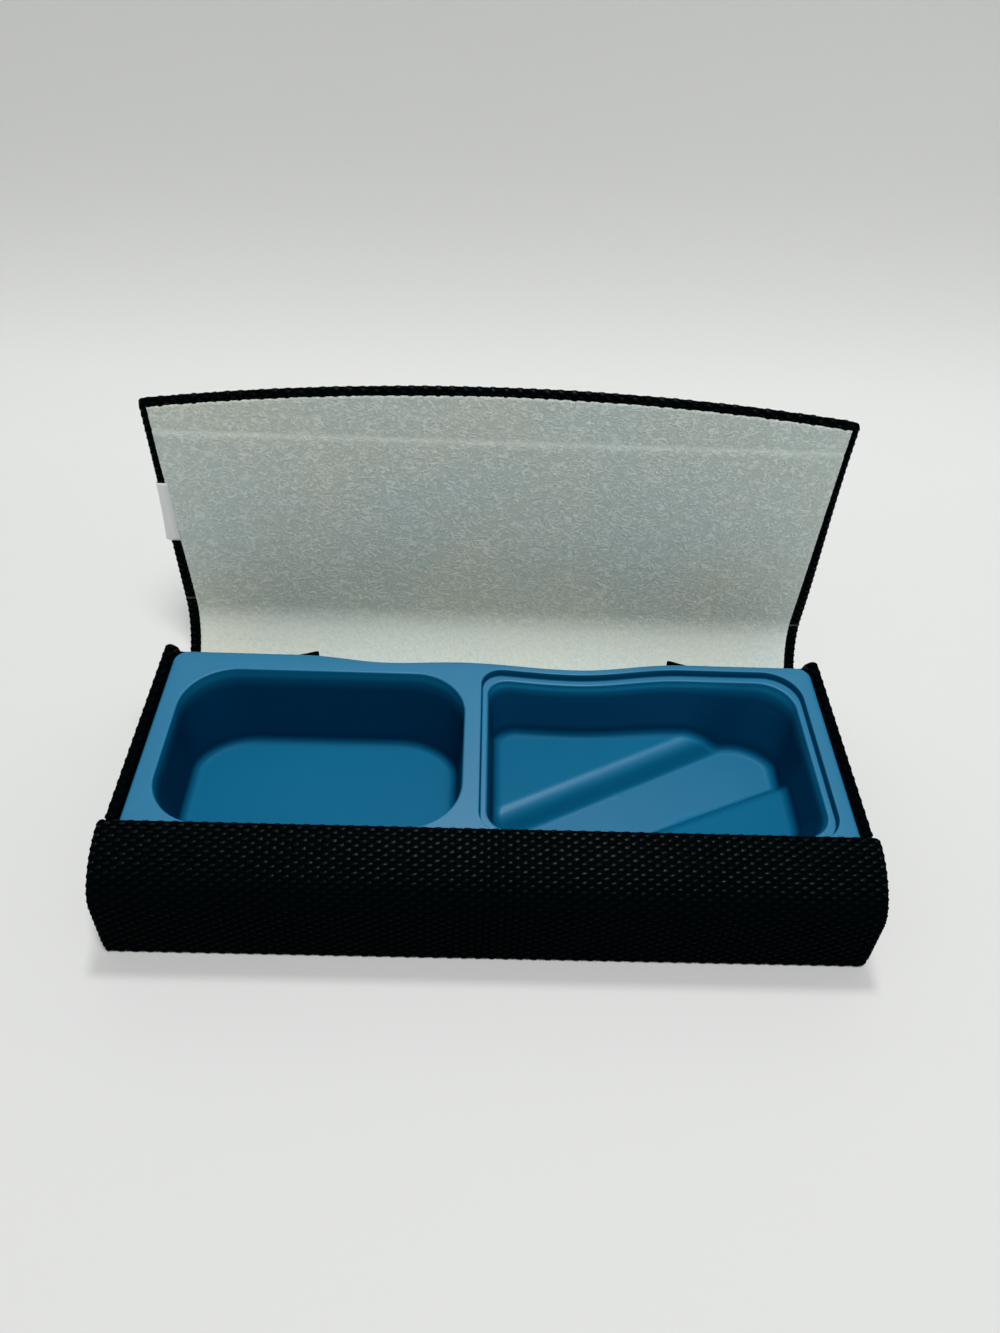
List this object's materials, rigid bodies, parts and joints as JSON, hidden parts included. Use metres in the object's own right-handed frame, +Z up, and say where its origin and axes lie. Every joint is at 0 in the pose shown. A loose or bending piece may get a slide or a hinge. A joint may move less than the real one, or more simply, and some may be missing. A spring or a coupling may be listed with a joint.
{
  "type": "hearing aid case",
  "caption": "Folding travel case with a rolled woven front, moulded tray of two pockets, hinged back strip, lid and bowed magnetic flap for carrying hearing aids.",
  "frame": {"origin": "under the middle of the open case, on the surface that it stands on", "axes": "+X along the case, -Y towards the rolled front, +Z up"},
  "size_m": [0.1461, 0.0853, 0.0751],
  "materials": {
    "cover_weave": "black ballistic basket weave",
    "board": "plain fibre board",
    "lining": "grey brushed microsuede",
    "tray_plastic": "satin blue vacuum-formed plastic",
    "catch_steel": "plain sheet steel",
    "magnet": "nickel-plated disc",
    "tag_ribbon": "plain white woven ribbon"
  },
  "bodies": {
    "base": {"base_cover": "cover_weave", "base_board": "board", "base_lining": "lining", "catch_plates": "catch_steel", "left_end_board": "board", "right_end_board": "board", "left_end_cover": "cover_weave", "right_end_cover": "cover_weave", "tray": "tray_plastic"},
    "back": {"back_cover": "cover_weave", "back_board": "board", "back_lining": "lining"},
    "lid": {"lid_cover": "cover_weave", "lid_board": "board", "lid_lining": "lining", "edge_tag": "tag_ribbon"},
    "flap": {"flap_cover": "cover_weave", "flap_board": "board", "flap_lining": "lining", "flap_magnets": "magnet"}
  },
  "joints": [
    {"name": "back_hinge", "type": "hinge", "parent": "base", "child": "back", "pos_m": [0, 0.02497, 0.00025], "axis": [1, 0, 0], "range_deg": [0, 53.6]},
    {"name": "lid_hinge", "type": "hinge", "parent": "back", "child": "lid", "pos_m": [0, 0.04228, 0.01756], "axis": [1, 0, 0], "range_deg": [0, 36.4]},
    {"name": "flap_bend", "type": "hinge", "parent": "lid", "child": "flap", "pos_m": [0, 0.04228, 0.06316], "axis": [1, 0, 0], "range_deg": [0, 5]}
  ]
}
